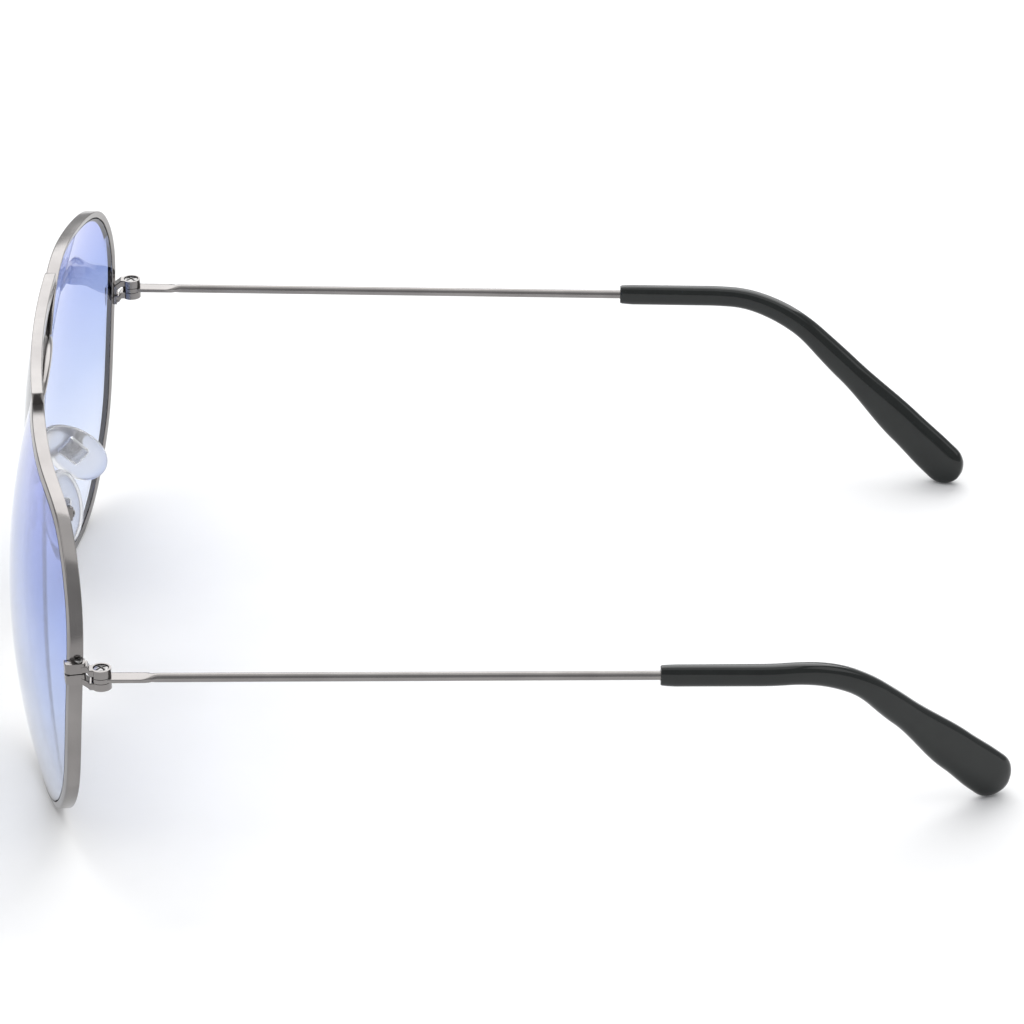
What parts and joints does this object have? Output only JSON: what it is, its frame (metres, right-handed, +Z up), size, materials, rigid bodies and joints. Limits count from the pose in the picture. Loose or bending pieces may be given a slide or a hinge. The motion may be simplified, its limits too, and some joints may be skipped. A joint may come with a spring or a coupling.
{
  "type": "aviator sunglasses",
  "caption": "Aviator sunglasses: thin polished rims, brow bar and lower bridge, gradient tinted lenses, silicone nose pads and folding wire temples with dark tips.",
  "frame": {"origin": "middle of the object's box at table level, where the rims' lowest points and the temple tips' lowest points rest", "axes": "+Z up; -Y the way the lenses face; +Y along the open temples; +X the wearer's left; X = 0 midway between the lenses"},
  "size_m": [0.1308, 0.144, 0.0539],
  "materials": {
    "polished_metal": "polished",
    "screw_steel": "satin",
    "tinted_lens": "transparent, blue fading to clear at the bottom",
    "dark_tip": "gloss",
    "clear_silicone": "clear, satin",
    "pad_core": "satin"
  },
  "bodies": {
    "front": {"brow_bar": "polished_metal", "lower_bridge": "polished_metal", "eyewire_left": "polished_metal", "lens_left": "tinted_lens", "end_piece_upper_left": "polished_metal", "end_piece_lower_left": "polished_metal", "hinge_screw_left": "screw_steel", "rim_screw_left": "screw_steel", "pad_arm_left": "polished_metal", "pad_box_left": "polished_metal", "pad_screw_left": "screw_steel", "eyewire_right": "polished_metal", "lens_right": "tinted_lens", "end_piece_upper_right": "polished_metal", "end_piece_lower_right": "polished_metal", "hinge_screw_right": "screw_steel", "rim_screw_right": "screw_steel", "pad_arm_right": "polished_metal", "pad_box_right": "polished_metal", "pad_screw_right": "screw_steel"},
    "temple_left_body": {"temple_left": "polished_metal", "temple_tip_left": "dark_tip"},
    "nose_pad_left_body": {"nose_pad_left": "clear_silicone", "pad_insert_left": "pad_core"},
    "temple_right_body": {"temple_right": "polished_metal", "temple_tip_right": "dark_tip"},
    "nose_pad_right_body": {"nose_pad_right": "clear_silicone", "pad_insert_right": "pad_core"}
  },
  "joints": [
    {"name": "temple_left_fold", "type": "hinge", "parent": "front", "child": "temple_left_body", "pos_m": [0.064, -0.05698, 0.03117], "axis": [0, 0.0169, 0.9999], "range_deg": [0, 83]},
    {"name": "temple_right_fold", "type": "hinge", "parent": "front", "child": "temple_right_body", "pos_m": [-0.064, -0.05698, 0.03117], "axis": [0, -0.0169, -0.9999], "range_deg": [0, 69]},
    {"name": "pad_left_rock", "type": "hinge", "parent": "front", "child": "nose_pad_left_body", "pos_m": [0.0103, -0.06451, 0.02949], "axis": [-0.3382, 0.9265, -0.1652], "range_deg": [-5, 5]},
    {"name": "pad_right_rock", "type": "hinge", "parent": "front", "child": "nose_pad_right_body", "pos_m": [-0.0103, -0.06429, 0.03049], "axis": [0.1015, -0.7336, -0.6719], "range_deg": [-5, 5]}
  ]
}
